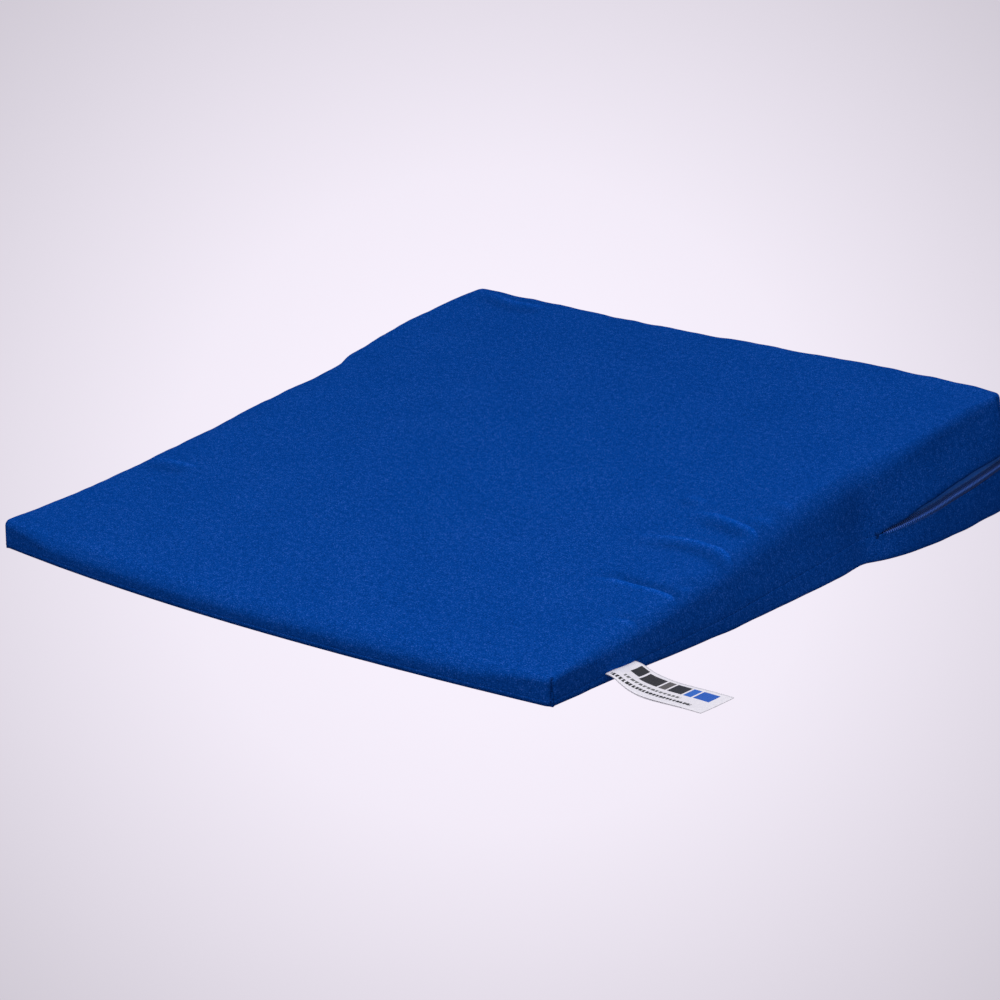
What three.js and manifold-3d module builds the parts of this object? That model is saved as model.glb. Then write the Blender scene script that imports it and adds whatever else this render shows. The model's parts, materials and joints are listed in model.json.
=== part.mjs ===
// Incline wedge cushion: a foam wedge in a removable woven cover, closed by a coil zip
// that runs round the thick end. Millimetres, +Z up. The thin edge faces -Y, the thick
// edge faces +Y, and the origin is the middle of the underside.

import * as THREE from 'three';
import { ConvexGeometry } from 'three/addons/geometries/ConvexGeometry.js';
import { mergeVertices } from 'three/addons/utils/BufferGeometryUtils.js';
import Module from 'manifold-3d';

const wasm = await Module();
wasm.setup();

// ---- Driving dimensions -------------------------------------------------------------

const WIDTH = 360; // along the thin edge
const DEPTH = 382; // from the thin edge to the thick edge
const THIN = 14; // height at the thin edge
const THICK = 63; // height at the thick edge
const FRONT_CORNER = 7; // upright corner radius, thin end
const BACK_CORNER = 12; // upright corner radius, thick end
const EDGE_ROUND = 4.5; // round of every top and bottom edge
const GAP = 0.3; // clearance between touching pieces
const FABRIC = 0.8; // one layer of cover cloth

// The seam that joins the two halves of the cover starts low at the thin edge and rises
// to the zip's tips. From there the zip takes over and runs on to the thick end.
const SEAM_FRONT = 3; // seam height at the thin edge
const ZIP_TIP_Y = 77; // where the zip starts on both side walls
const ZIP_TIP_Z = 13; // zip height at its tips
const ZIP_BACK_Z = 26.5; // zip height along the thick end
const LIP_RUN = 13; // length over which the lips part beyond each tip
const LIP_OPEN = 4.6; // half the opening between the lips

const TAPE_THICK = 0.5;
const TAPE_REACH = 9; // from the zip's centre line to the tape's outer edge
const COIL_THICK = 1.5;
const COIL_REACH = 2.1; // from the zip's centre line to the coil's outer edge
const SLOT = 0.7; // from the zip's centre line to the inner edge of coil and tape

const SLIDER_LENGTH = 9.5;
const SLIDER_WIDTH = 8;
const SLIDER_Y = ZIP_TIP_Y + LIP_RUN + SLIDER_LENGTH / 2 + 1;
const PLATE = 0.9; // thickness of the slider's two plates
const POST = 0.8; // thickness of the post between the two zip halves
const BRIDGE_LENGTH = 6; // arch that holds the pull tab
const BRIDGE_WIDTH = 2.2;
const PULL_LENGTH = 27;
const PULL_WIDTH = 7;
const PULL_THICK = 1;
const PULL_EYE = [5, 3.8]; // length and width of the hole round the bridge

const BARTACK = [0.6, 1.6, 5]; // thread bar over each zip tip: out, along, up
const LABEL_WIDTH = 25; // folded ribbon label in the right side seam
const LABEL_REACH = 55; // from the wall to the free end
const LABEL_DROP = 25; // length of its slope from the seam down to the floor
const LABEL_THICK = 0.8;
const LABEL_Y = -142; // middle of the label along the seam
const LABEL_TURN = THREE.MathUtils.degToRad(-1.5); // the label lies a little askew

// ---- Worked-out dimensions ----------------------------------------------------------

const HALF_W = WIDTH / 2;
const HALF_D = DEPTH / 2;
const TOP_SLOPE = (THICK - THIN) / DEPTH;
const ZIP_SLOPE = (ZIP_BACK_Z - ZIP_TIP_Z) / (HALF_D - ZIP_TIP_Y);
const SEAM_SLOPE = (ZIP_TIP_Z - SEAM_FRONT) / (ZIP_TIP_Y + HALF_D);
const ZIP_TILT = Math.atan(ZIP_SLOPE);

const topZ = (y) => THIN + TOP_SLOPE * (y + HALF_D);
const zipZ = (y) => ZIP_TIP_Z + ZIP_SLOPE * (y - ZIP_TIP_Y);
const seamZ = (y) => SEAM_FRONT + SEAM_SLOPE * (y + HALF_D);

// Layers behind the wall's outer face, measured inwards
const HEM_BACK = 2 * FABRIC;
const TAPE_FACE = HEM_BACK + GAP;
const TAPE_BACK = TAPE_FACE + TAPE_THICK;
const COIL_BACK = TAPE_FACE - GAP;
const COIL_FACE = COIL_BACK - COIL_THICK;
const BLADE_FACE = TAPE_BACK + GAP;
const BLADE_BACK = BLADE_FACE + PLATE;
const FOAM_INSET = HEM_BACK + GAP;
const GROOVE_BACK = BLADE_BACK + GAP;

const CORNER_STEPS = 6;
const EDGE_STEPS = 4;
const FAR = 300; // beyond the object, for cutting tools

// ---- Materials ----------------------------------------------------------------------

const cloth = new THREE.MeshStandardMaterial({ color: 0x0a4c8c, roughness: 0.9 });
const foam = new THREE.MeshStandardMaterial({ color: 0xe8e2c8, roughness: 0.95 });
const tape = new THREE.MeshStandardMaterial({ color: 0x37587f, roughness: 0.85 });
const coil = new THREE.MeshStandardMaterial({ color: 0x4c6c96, roughness: 0.45 });
const metal = new THREE.MeshStandardMaterial({ color: 0xb5b8bc, roughness: 0.3, metalness: 1 });
const thread = new THREE.MeshStandardMaterial({ color: 0x082f5c, roughness: 0.8 });
const satin = new THREE.MeshStandardMaterial({ color: 0xf1f1ee, roughness: 0.5 });

// ---- Solids -------------------------------------------------------------------------

function toSolid(geometry) {
  const bare = geometry.index ? geometry.toNonIndexed() : geometry.clone();
  for (const name of Object.keys(bare.attributes)) {
    if (name !== 'position') bare.deleteAttribute(name);
  }
  const merged = mergeVertices(bare, 1e-4);
  return new wasm.Manifold(new wasm.Mesh({
    numProp: 3,
    vertProperties: new Float32Array(merged.attributes.position.array),
    triVerts: new Uint32Array(merged.index.array),
  }));
}

function toGeometry(solid) {
  const mesh = solid.getMesh();
  const geometry = new THREE.BufferGeometry();
  const points = new THREE.BufferAttribute(new Float32Array(mesh.vertProperties), 3);
  geometry.setAttribute('position', points);
  geometry.setIndex(new THREE.BufferAttribute(new Uint32Array(mesh.triVerts), 1));
  return geometry;
}

// A box from its lowest to its highest corner
function block(low, high) {
  const size = high.map((value, i) => value - low[i]);
  const geometry = new THREE.BoxGeometry(...size);
  geometry.translate(...low.map((value, i) => value + size[i] / 2));
  return toSolid(geometry);
}

// The cushion's rounded wedge, drawn in by `inset` on its walls and top and by
// `baseInset` underneath
function wedge(inset, baseInset = inset) {
  const points = [];
  const edge = EDGE_ROUND - inset;
  const drop = inset / Math.cos(Math.atan(TOP_SLOPE));
  for (let corner = 0; corner < 4; corner += 1) {
    const right = corner === 0 || corner === 3;
    const back = corner < 2;
    const radius = (back ? BACK_CORNER : FRONT_CORNER) - inset;
    const centreX = (HALF_W - inset - radius) * (right ? 1 : -1);
    const centreY = (HALF_D - inset - radius) * (back ? 1 : -1);
    for (let i = 0; i <= CORNER_STEPS; i += 1) {
      const turn = (corner + i / CORNER_STEPS) * Math.PI / 2;
      for (let j = 0; j <= EDGE_STEPS; j += 1) {
        const roll = j / EDGE_STEPS * Math.PI / 2;
        const reach = radius - edge + edge * Math.cos(roll);
        const x = centreX + reach * Math.cos(turn);
        const y = centreY + reach * Math.sin(turn);
        const rise = edge * Math.sin(roll);
        points.push(new THREE.Vector3(x, y, topZ(y) - drop - edge + rise));
        points.push(new THREE.Vector3(x, y, baseInset + edge - rise));
      }
    }
  }
  return toSolid(new ConvexGeometry(points));
}

// Everything above or below a line of [y, z] points, over the whole width
function halfSpace(line, above) {
  const end = above ? FAR : -FAR;
  const outline = [[-FAR, end], ...line, [FAR, end]];
  const shape = new THREE.Shape(outline.map(([y, z]) => new THREE.Vector2(y, z)));
  const geometry = new THREE.ExtrudeGeometry(shape, { depth: 2 * FAR, bevelEnabled: false });
  // shape x, y and depth become Y, Z and X
  geometry.applyMatrix4(new THREE.Matrix4().set(
    0, 0, 1, -FAR,
    1, 0, 0, 0,
    0, 1, 0, 0,
    0, 0, 0, 1,
  ));
  return toSolid(geometry);
}

// The cut between the cover's halves: along the seam, then along one lip of the zip
function coverCut(side) {
  const spread = ZIP_TIP_Y + LIP_RUN;
  return [
    [-FAR, seamZ(-FAR) + side * GAP / 2],
    [ZIP_TIP_Y, zipZ(ZIP_TIP_Y) + side * GAP / 2],
    [spread, zipZ(spread) + side * LIP_OPEN],
    [FAR, zipZ(FAR) + side * LIP_OPEN],
  ];
}

// A U-shaped band round the thick end that follows the zip. Its faces lie `face` and
// `back` behind the wall, and it spans `low` to `high` across the zip's centre line.
function zipBand(face, back, low, high, startY = ZIP_TIP_Y) {
  const shape = new THREE.Shape();
  const centreX = HALF_W - BACK_CORNER;
  const centreY = HALF_D - BACK_CORNER;
  const outer = BACK_CORNER - face;
  const inner = BACK_CORNER - back;
  shape.moveTo(HALF_W - face, startY);
  shape.lineTo(HALF_W - face, centreY);
  shape.absarc(centreX, centreY, outer, 0, Math.PI / 2, false);
  shape.absarc(-centreX, centreY, outer, Math.PI / 2, Math.PI, false);
  shape.lineTo(-HALF_W + face, startY);
  shape.lineTo(-HALF_W + back, startY);
  shape.absarc(-centreX, centreY, inner, Math.PI, Math.PI / 2, true);
  shape.absarc(centreX, centreY, inner, Math.PI / 2, 0, true);
  shape.lineTo(HALF_W - back, startY);
  const geometry = new THREE.ExtrudeGeometry(shape, {
    depth: high - low,
    bevelEnabled: false,
    curveSegments: CORNER_STEPS,
  });
  const position = geometry.attributes.position;
  for (let i = 0; i < position.count; i += 1) {
    position.setZ(i, position.getZ(i) + low + zipZ(position.getY(i)));
  }
  return toSolid(geometry);
}

// ---- Cover and foam -----------------------------------------------------------------

// One half of the cover: its share of the shell, with the cloth turned in behind the
// lip as a hem that carries the zip's tape
function coverHalf(side) {
  const outside = wedge(0);
  const hemEnd = side > 0 ? LIP_OPEN + 9 : LIP_OPEN + 4.2;
  const hem = side > 0
    ? zipBand(FABRIC - 0.1, HEM_BACK, 0, hemEnd)
    : zipBand(FABRIC - 0.1, HEM_BACK, -hemEnd, 0);
  const shell = outside.subtract(wedge(FABRIC)).add(hem).intersect(outside);
  return shell.intersect(halfSpace(coverCut(side), side > 0));
}

// The foam block keeps clear of the hems, and its edge gives way along the zip so that
// the tapes and the slider's blade have room
function foamCore() {
  const reach = TAPE_REACH + GAP;
  const groove = zipBand(0, GROOVE_BACK, -reach, reach, ZIP_TIP_Y - 1);
  return wedge(FOAM_INSET, FABRIC + GAP).subtract(groove);
}

// ---- Zip slider and its pull, drawn flat: X along the chain, Y across, Z outwards ----

// Along the chain the slider is a rounded shield: broad where the two halves enter it,
// narrower where the closed chain leaves
function shieldShape() {
  const nose = -SLIDER_LENGTH / 2;
  const tail = SLIDER_LENGTH / 2;
  const wide = SLIDER_WIDTH / 2;
  const narrow = wide * 0.72;
  const shape = new THREE.Shape();
  shape.moveTo(tail, -narrow);
  shape.lineTo(tail, narrow);
  shape.lineTo(nose + 4.5, wide);
  shape.quadraticCurveTo(nose, wide, nose, wide * 0.45);
  shape.lineTo(nose, -wide * 0.45);
  shape.quadraticCurveTo(nose, -wide, nose + 4.5, -wide);
  return shape;
}

function plate(shape, low, high) {
  const geometry = new THREE.ExtrudeGeometry(shape, {
    depth: high - low,
    bevelEnabled: false,
    curveSegments: CORNER_STEPS,
  });
  geometry.translate(0, 0, low);
  return toSolid(geometry);
}

const FACE_LOW = GAP - COIL_FACE; // underside of the outer plate, out from the wall
const FACE_HIGH = FACE_LOW + PLATE;
const PIN_RADIUS = PULL_THICK / 2;
const PIN_Z = FACE_HIGH + GAP + PIN_RADIUS; // axis of the pull tab's hinge
const BRIDGE_UNDER = PIN_Z + PIN_RADIUS + GAP;
const BRIDGE_TOP = BRIDGE_UNDER + PLATE;

function slider() {
  const shape = shieldShape();
  const halfLength = SLIDER_LENGTH / 2;
  const halfBridge = BRIDGE_LENGTH / 2;
  const halfWidth = BRIDGE_WIDTH / 2;
  const post = block(
    [-halfLength + 0.6, -POST / 2, -BLADE_BACK + PLATE / 2],
    [-halfLength + 3.6, POST / 2, FACE_LOW + PLATE / 2],
  );
  const arch = block(
    [-halfBridge, -halfWidth, FACE_HIGH - PLATE / 2],
    [halfBridge, halfWidth, BRIDGE_TOP],
  ).subtract(block(
    [-halfBridge + PLATE, -FAR, FACE_HIGH],
    [halfBridge - PLATE, FAR, BRIDGE_UNDER],
  ));
  return plate(shape, FACE_LOW, FACE_HIGH)
    .add(plate(shape, -BLADE_BACK, -BLADE_FACE))
    .add(post)
    .add(arch);
}

// The pull tab lies along the chain over the closed side; its eye goes round the bridge
function pullTab() {
  const half = PULL_WIDTH / 2;
  const root = -PIN_RADIUS;
  const waist = half * 0.78;
  const shape = new THREE.Shape();
  shape.moveTo(root, -waist);
  shape.lineTo(root + PULL_LENGTH * 0.5, -waist);
  shape.lineTo(root + PULL_LENGTH - half, -half);
  shape.absarc(root + PULL_LENGTH - half, 0, half, -Math.PI / 2, Math.PI / 2, false);
  shape.lineTo(root + PULL_LENGTH * 0.5, waist);
  shape.lineTo(root, waist);
  const [eyeLength, eyeWidth] = PULL_EYE;
  const eye = block(
    [PIN_RADIUS, -eyeWidth / 2, -FAR],
    [PIN_RADIUS + eyeLength, eyeWidth / 2, FAR],
  );
  return plate(shape, PIN_Z - PIN_RADIUS, PIN_Z + PIN_RADIUS).subtract(eye);
}

// ---- Trim ---------------------------------------------------------------------------

// Side view of the label: out of the seam, down in a soft S, then flat on the floor
function label() {
  const start = seamZ(LABEL_Y) + GAP;
  const centre = [];
  const steps = 10;
  for (let i = 0; i <= steps; i += 1) {
    const t = i / steps;
    const ease = t * t * (3 - 2 * t);
    centre.push([t * LABEL_DROP, start * (1 - ease)]);
  }
  centre.push([LABEL_REACH, 0]);
  const under = [[-LABEL_WIDTH, start], ...centre];
  const over = under.map(([x, z]) => [x, z + LABEL_THICK]).reverse();
  const outline = [...under, ...over].map(([x, z]) => new THREE.Vector2(x, z));
  const geometry = new THREE.ExtrudeGeometry(new THREE.Shape(outline), {
    depth: LABEL_WIDTH,
    bevelEnabled: false,
  });
  geometry.translate(0, 0, -LABEL_WIDTH / 2);
  geometry.rotateX(Math.PI / 2);
  geometry.rotateZ(LABEL_TURN);
  geometry.translate(HALF_W, LABEL_Y, 0);
  const wall = block([-FAR, -FAR, -FAR], [HALF_W + GAP, FAR, FAR]);
  return toSolid(geometry).subtract(wall);
}

function bartack(side) {
  const [out, along, up] = BARTACK;
  const near = side * (HALF_W + GAP);
  const far = side * (HALF_W + GAP + out);
  const y = ZIP_TIP_Y - along;
  const z = seamZ(y);
  return block(
    [Math.min(near, far), y - along / 2, z - up / 2],
    [Math.max(near, far), y + along / 2, z + up / 2],
  );
}

// ---- Assembly -----------------------------------------------------------------------

const cushion = new THREE.Group();

function place(name, solid, material, parent = cushion) {
  const mesh = new THREE.Mesh(toGeometry(solid), material);
  mesh.name = name;
  parent.add(mesh);
}

place('foam_core', foamCore(), foam);
place('cover_top', coverHalf(1), cloth);
place('cover_bottom', coverHalf(-1), cloth);
place('zip_tape_upper', zipBand(TAPE_FACE, TAPE_BACK, SLOT, TAPE_REACH), tape);
place('zip_tape_lower', zipBand(TAPE_FACE, TAPE_BACK, -TAPE_REACH, -SLOT), tape);
const coilStart = ZIP_TIP_Y + LIP_RUN;
place('zip_coil_upper', zipBand(COIL_FACE, COIL_BACK, SLOT, COIL_REACH, coilStart), coil);
place('zip_coil_lower', zipBand(COIL_FACE, COIL_BACK, -COIL_REACH, -SLOT, coilStart), coil);
place('zip_bartack_left', bartack(-1), thread);
place('zip_bartack_right', bartack(1), thread);
place('label', label(), satin);

// The slider stands closed at the zip's left tip: its chain axis runs back along the
// side wall, and its outer face looks out of the wall towards -X
const sliderPlace = new THREE.Group();
const chainAxis = new THREE.Vector3(0, Math.cos(ZIP_TILT), Math.sin(ZIP_TILT));
const outAxis = new THREE.Vector3(-1, 0, 0);
const acrossAxis = new THREE.Vector3().crossVectors(outAxis, chainAxis);
sliderPlace.setRotationFromMatrix(
  new THREE.Matrix4().makeBasis(chainAxis, acrossAxis, outAxis),
);
sliderPlace.position.set(-HALF_W, SLIDER_Y, zipZ(SLIDER_Y));
cushion.add(sliderPlace);
place('zip_slider', slider(), metal, sliderPlace);
place('zip_pull_tab', pullTab(), metal, sliderPlace);

export default cushion;
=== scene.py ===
import json
import math

import bpy
import bmesh
import numpy as np
from mathutils import Matrix, Vector


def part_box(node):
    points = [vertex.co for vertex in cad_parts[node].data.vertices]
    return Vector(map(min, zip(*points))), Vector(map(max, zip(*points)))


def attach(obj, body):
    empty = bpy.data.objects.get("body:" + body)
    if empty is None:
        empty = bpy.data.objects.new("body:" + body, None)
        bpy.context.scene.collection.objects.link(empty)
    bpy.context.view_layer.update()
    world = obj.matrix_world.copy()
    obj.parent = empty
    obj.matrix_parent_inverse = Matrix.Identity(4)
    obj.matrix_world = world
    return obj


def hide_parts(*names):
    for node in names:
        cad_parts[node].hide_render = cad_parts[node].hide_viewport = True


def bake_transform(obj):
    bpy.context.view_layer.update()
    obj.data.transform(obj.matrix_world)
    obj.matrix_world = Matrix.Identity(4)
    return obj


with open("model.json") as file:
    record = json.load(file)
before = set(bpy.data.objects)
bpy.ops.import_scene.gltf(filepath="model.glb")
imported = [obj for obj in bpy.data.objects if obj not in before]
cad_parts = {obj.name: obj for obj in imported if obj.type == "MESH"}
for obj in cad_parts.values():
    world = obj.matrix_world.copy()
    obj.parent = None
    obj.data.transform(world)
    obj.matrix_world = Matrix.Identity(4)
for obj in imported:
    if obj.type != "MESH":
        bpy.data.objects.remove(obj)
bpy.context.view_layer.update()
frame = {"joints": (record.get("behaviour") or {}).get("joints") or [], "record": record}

# ---- Dimensions, in metres --------------------------------------------------------

MM = 0.001
MOUNTS = {m["name"]: m for m in frame["record"]["mounts"]}
JOINTS = {j["name"]: j for j in frame["joints"]}

# The cushion's box and planes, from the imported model
COVER_LOW, COVER_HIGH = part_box("cover_top")
HALF_W = COVER_HIGH.x
HALF_D = COVER_HIGH.y
SEAM_FRONT_Z = COVER_LOW.z
TOP_POINT = Vector(MOUNTS["top_slope"]["pos_m"])
TOP_NORMAL = Vector(MOUNTS["top_slope"]["axis"])
TOP_SLOPE = -TOP_NORMAL.y / TOP_NORMAL.z

# The zip's centre line: it runs back from its tips, up the side walls, and round the
# thick end
CHAIN_AXIS = Vector(JOINTS["zip_slide"]["axis"]).normalized()
ZIP_SLOPE = CHAIN_AXIS.z / CHAIN_AXIS.y
PULL_PIVOT = Vector(JOINTS["pull_flip"]["pos_m"])
ZIP_TIP_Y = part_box("zip_tape_upper")[0].y
TAPE_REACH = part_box("zip_tape_upper")[1].z - (PULL_PIVOT.z + (HALF_D - PULL_PIVOT.y) * ZIP_SLOPE)

# The visible cover
FRONT_CORNER = 4.5 * MM  # upright corner radius, thin end
BACK_CORNER = 7 * MM  # upright corner radius, thick end
CORNER_EDGE = 2.6 * MM  # round of the top edge at the corners
SIDE_EDGE = 6.5 * MM  # and halfway along, where the foam gives way under the cloth
FRONT_EDGE = 7.5 * MM  # and along the thin edge
RIGHT_EDGE = 9.5 * MM  # and on the right, where the wall leans in
ZIPPED_EDGE = 3.4 * MM  # and above the zip, where the walls are slacker
BASE_EDGE = 2.4 * MM  # round of the bottom edge
FRONT_BOW = 11 * MM  # the thin edge bows outwards between its corners
LIP_TUCK = 0.5 * MM  # how far the cloth turns in at the zip's lips
SEAM_TUCK = 0.12 * MM  # and at the seam, which is pulled nearly flush

# The zip's layers, measured inwards from the wall
TAPE_DEPTH = 2.15 * MM
TAPE_THICK = 0.5 * MM
COIL_DEPTH = 0.95 * MM

CLOTH_UV = "cloth"  # each fabric's own flat coordinates, in metres
PAINTED_LIGHT_TONE = "painted_light_tone"  # how much paler or darker the cover's cloth is painted at each point: painted highlight, painted shade, and darker corner seams


def top_z(y):
    return TOP_POINT.z - (TOP_POINT.y - y) * TOP_SLOPE


def zip_z(y):
    return PULL_PIVOT.z + (y - PULL_PIVOT.y) * ZIP_SLOPE


def seam_z(y):
    rise = zip_z(ZIP_TIP_Y) - SEAM_FRONT_Z
    return SEAM_FRONT_Z + rise * (y + HALF_D) / (ZIP_TIP_Y + HALF_D)


def smooth(value, start, end):
    """0 before start, 1 after end, and a soft step between them."""
    t = np.clip((value - start) / (end - start), 0.0, 1.0)
    return t * t * (3 - 2 * t)


def bell(distance, width, power=2):
    """1 at no distance, and less and less with distance, over about this width."""
    return np.exp(-((distance / width) ** power))


def through(value, stops):
    """The height of a smooth line through (place, height) stops, given in millimetres."""
    place, height = np.array(stops, float).T * MM
    slope = np.gradient(height, place)
    i = np.clip(np.searchsorted(place, value) - 1, 0, len(place) - 2)
    width = place[i + 1] - place[i]
    t = np.clip((value - place[i]) / width, 0, 1)
    a, b = slope[i] * width, slope[i + 1] * width
    rise = height[i + 1] - height[i]
    return height[i] + t * (a + t * (3 * rise - 2 * a - b + t * (a + b - 2 * rise)))


# ---- Camera ------------------------------------------------------------------------

PHOTO_SIDE = 1000
FOCAL_PIXELS = 3550
AZIMUTH = math.radians(39.535)
ELEVATION = math.radians(17.445)
DISTANCE = 1.881
AIM = Vector((-35.7, 32.9, 0)) * MM


def linked(name, data):
    """A new object in the scene."""
    made = bpy.data.objects.new(name, data)
    bpy.context.scene.collection.objects.link(made)
    return made


def make_camera():
    data = bpy.data.cameras.new("camera")
    data.sensor_width = 36
    data.lens = FOCAL_PIXELS / PHOTO_SIDE * data.sensor_width
    camera = linked("camera", data)
    back = Vector((
        math.sin(AZIMUTH) * math.cos(ELEVATION),
        -math.cos(AZIMUTH) * math.cos(ELEVATION),
        math.sin(ELEVATION),
    ))
    camera.location = AIM + back * DISTANCE
    camera.rotation_mode = "QUATERNION"
    camera.rotation_quaternion = (-back).to_track_quat("-Z", "Y")
    bpy.context.scene.camera = camera


# ---- Mesh helpers ------------------------------------------------------------------

def add_object(name, points, faces, material=None):
    mesh = bpy.data.meshes.new(name)
    mesh.from_pydata([tuple(p) for p in points], [], [tuple(f) for f in faces])
    mesh.validate()
    mesh.polygons.foreach_set("use_smooth", [True] * len(mesh.polygons))
    mesh.update()
    if material is not None:
        mesh.materials.append(material)
    return linked(name, mesh)


def finished(piece, body, slot, *nodes):
    """Rides the piece on its body, in place of CAD nodes; slot, the name of its finish, is not
    used.
    """
    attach(piece, body)
    if nodes:
        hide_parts(*nodes)


def get_vectors(mesh, kind="co"):
    flat = np.zeros(len(mesh.vertices) * 3)
    mesh.vertices.foreach_get(kind, flat)
    return flat.reshape(-1, 3)


def set_points(mesh, points):
    mesh.vertices.foreach_set("co", points.astype(np.float32).ravel())
    mesh.update()


def loop_vertices(mesh):
    index = np.zeros(len(mesh.loops), np.int32)
    mesh.loops.foreach_get("vertex_index", index)
    return index


def set_uv(mesh, uv):
    """Writes a flat coordinate for each corner of each face."""
    layer = mesh.uv_layers.new(name=CLOTH_UV)
    layer.data.foreach_set("uv", uv.astype(np.float32).ravel())


def apply_modifiers(piece):
    depsgraph = bpy.context.evaluated_depsgraph_get()
    made = bpy.data.meshes.new_from_object(piece.evaluated_get(depsgraph))
    made.name = piece.name
    piece.modifiers.clear()
    piece.data = made


def weld(piece, distance):
    mesh = bmesh.new()
    mesh.from_mesh(piece.data)
    bmesh.ops.remove_doubles(mesh, verts=mesh.verts, dist=distance)
    bmesh.ops.recalc_face_normals(mesh, faces=mesh.faces)
    mesh.to_mesh(piece.data)
    mesh.free()


def graded(half, step, fine_places=(), fine_step=2.0 * MM):
    """Grid lines from -half to half, close together near both ends and near the fine
    places, given in millimetres."""
    place = np.linspace(-half, half, 8001)
    to_end = half - np.abs(place)
    lines_per_metre = 1 / step + 1 / (0.5 * MM + 0.3 * to_end)
    for fine in fine_places:
        lines_per_metre += bell(place - fine * MM, 4 * MM) / fine_step
    passed = np.concatenate([[0], np.cumsum(lines_per_metre[1:] * np.diff(place))])
    count = int(round(passed[-1]))
    return np.interp(np.linspace(0, passed[-1], count + 1), passed, place)


def skin(rings, count):
    """Faces of a closed-ended tube made of rings of count points."""
    faces = []
    for i in range(rings - 1):
        for j in range(count):
            k = (j + 1) % count
            a, b = i * count, (i + 1) * count
            faces.append((a + j, a + k, b + k, b + j))
    last = (rings - 1) * count
    faces.append(tuple(range(count - 1, -1, -1)))
    faces.append(tuple(range(last, last + count)))
    return faces


def unit(vectors):
    return vectors / np.linalg.norm(vectors, axis=1, keepdims=True)


def tube_mesh(path, guide, radius, sides):
    """Points and faces of a round tube. guide is a direction, or one for each point,
    that is never along the path."""
    ahead = unit(np.gradient(path, axis=0))
    across = unit(np.cross(guide, ahead))
    up = np.cross(ahead, across)
    turn = np.arange(sides) * 2 * math.pi / sides
    ring = across[:, None] * np.cos(turn)[:, None] + up[:, None] * np.sin(turn)[:, None]
    return (path[:, None] + radius * ring).reshape(-1, 3), skin(len(path), sides)


def join_meshes(parts):
    """One list of points and faces from several."""
    points, faces, start = [], [], 0
    for part_points, part_faces in parts:
        points.append(part_points)
        faces += [tuple(i + start for i in f) for f in part_faces]
        start += len(part_points)
    return np.concatenate(points), faces


# ---- Shape of the cover ------------------------------------------------------------

def depth_share(y):
    """0 at the thin edge, 1 at the thick edge."""
    return (y + HALF_D) / (2 * HALF_D)


def nearest_wall(x, y):
    """For points (x, y) of a sharp-cornered plan: the nearest point of the rounded
    wall, the outward direction there, and how far inside the wall each point is."""
    radius = np.where(y < 0, FRONT_CORNER, BACK_CORNER)
    flat = np.stack([x, y], axis=-1)
    room = np.stack([HALF_W - radius, HALF_D - radius], axis=-1)
    inner = np.clip(flat, -room, room)
    arm = flat - inner
    reach = np.abs(arm).max(axis=-1)
    to_side, to_end = HALF_W - np.abs(x), HALF_D - np.abs(y)
    middle = reach < 1e-9
    by_side = (to_side < to_end)[:, None]
    nearest = np.sign(flat) * np.where(by_side, (1.0, 0.0), (0.0, 1.0))
    length = np.where(middle, 1.0, np.linalg.norm(arm, axis=-1))
    out = np.where(middle[:, None], nearest, arm / length[:, None])
    inside = np.where(middle, np.minimum(to_side, to_end), radius - reach)
    straight, rounded = flat + out * inside[:, None], inner + out * radius[:, None]
    return np.where(middle[:, None], straight, rounded), out, inside


def along_side(y):
    """1 along the middle of a side, falling to 0 at its corners."""
    return smooth(HALF_D - np.abs(y), 6 * MM, 48 * MM)


def along_end(x):
    return smooth(HALF_W - np.abs(x), 6 * MM, 48 * MM)


def top_edge_round(x, y):
    """Radius of the top edge's round nearest to each point."""
    share = depth_share(y)
    left_round = SIDE_EDGE + (ZIPPED_EDGE - SIDE_EDGE) * smooth(share, 0.66, 0.72)
    right_round = SIDE_EDGE + (RIGHT_EDGE - SIDE_EDGE) * smooth(share, 0.25, 0.5)
    right_round -= (RIGHT_EDGE - 5.5 * MM) * smooth(share, 0.7, 0.85)
    side_round = np.where(x > 0, right_round, left_round)
    side = CORNER_EDGE + (side_round - CORNER_EDGE) * along_side(y)
    end_round = np.where(y < 0, FRONT_EDGE, ZIPPED_EDGE)
    end = CORNER_EDGE + (end_round - CORNER_EDGE) * along_end(x)
    return np.where(HALF_W - np.abs(x) < HALF_D - np.abs(y), side, end)


# How far the side edges sink below the top's plane, from the thin edge to the thick
# one: the cover holds them down ahead of the zip, and they stand proud above it
SIDE_SAG = [
    (-191, 0), (-156, 2.1), (-115, 3.9), (-78, 4.1), (-40, 4.0), (-8, 3.0), (20, 2.7),
    (44, 3.6), (59, 1.8), (71, 0.4), (83, 0.6), (101, -1.1), (138, -2.5), (173, -1.9),
    (191, -0.9),
]
# The same for the thick edge, from left to right
BACK_SAG = [(-180, 0.5), (-126, 0.3), (-70, 0.8), (14, -0.1), (80, -1.3), (110, -1.6),
            (141, -1.3), (160, -0.3), (180, 0.7)]
FRONT_SAG = 0.4 * MM


def edge_sag(x, y):
    to_side = HALF_W - np.abs(x)
    side = through(y, SIDE_SAG) * np.where(x > 0, 0.35, 1.0)
    side = side * bell(to_side, 11 * MM, 1.4)
    front = FRONT_SAG * along_end(x) * bell(y + HALF_D, 12 * MM, 1.4)
    front = front * (1 - 0.6 * bell(to_side, 14 * MM, 1))
    back = through(x, BACK_SAG) * bell(HALF_D - y, 26 * MM, 1.4)
    return side + front + back


# How far the lips of the right-hand opening stand from the zip's centre line, from its
# tip back
UPPER_LIP = [(0, 0), (6, 1.2), (18, 2.1), (31, 4.2), (43, 4.5), (55, 4.9), (68, 5.2),
             (80, 5.4), (92, 5.0), (108, 4.5), (125, 4.4)]
LOWER_LIP = [(0, 0), (6, 0.25), (18, 0.6), (31, 1.2), (43, 1.6), (55, 2.0), (68, 2.3),
             (80, 2.6), (92, 2.5), (108, 2.0), (125, 1.9)]


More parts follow.
